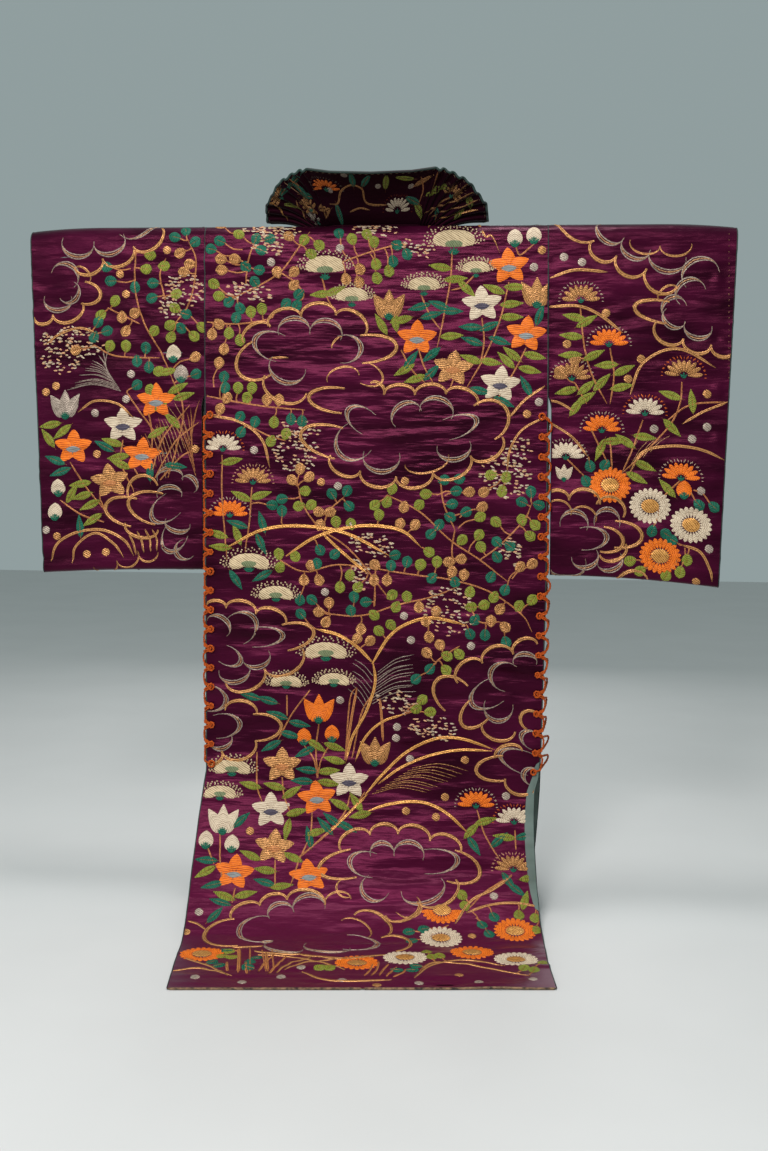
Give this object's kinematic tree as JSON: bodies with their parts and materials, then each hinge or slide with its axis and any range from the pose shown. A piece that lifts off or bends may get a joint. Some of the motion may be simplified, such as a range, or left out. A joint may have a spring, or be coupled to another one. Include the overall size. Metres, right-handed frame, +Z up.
{
  "type": "kimono on a display stand",
  "caption": "Open-front embroidered satin kimono-style stage robe with lining, pleated standing collar, laced sides and a train, spread on a plain T-shaped stand.",
  "frame": {"origin": "on the floor under the middle of the crossbar, which is the middle of the bounding box seen from above", "axes": "+Z up; the robe's back, with the train, faces -Y; +X to the viewer's right along the crossbar"},
  "size_m": [1.2796, 0.9166, 1.3452],
  "materials": {
    "satin": "glossy aubergine satin, embroidered",
    "lining": "plain grey-green cloth",
    "cord": "twisted orange-red silk cord",
    "stand": "painted light grey, matt"
  },
  "bodies": {
    "root": {"body_left": "satin", "body_right": "satin", "lining_left": "lining", "lining_right": "lining", "sleeve_left": "satin", "sleeve_right": "satin", "collar": "satin", "front_band_left": "satin", "front_band_right": "satin", "lacing_left": "cord", "lacing_right": "cord", "stand_crossbar": "stand", "stand_post": "stand", "stand_base": "stand"}
  },
  "joints": []
}
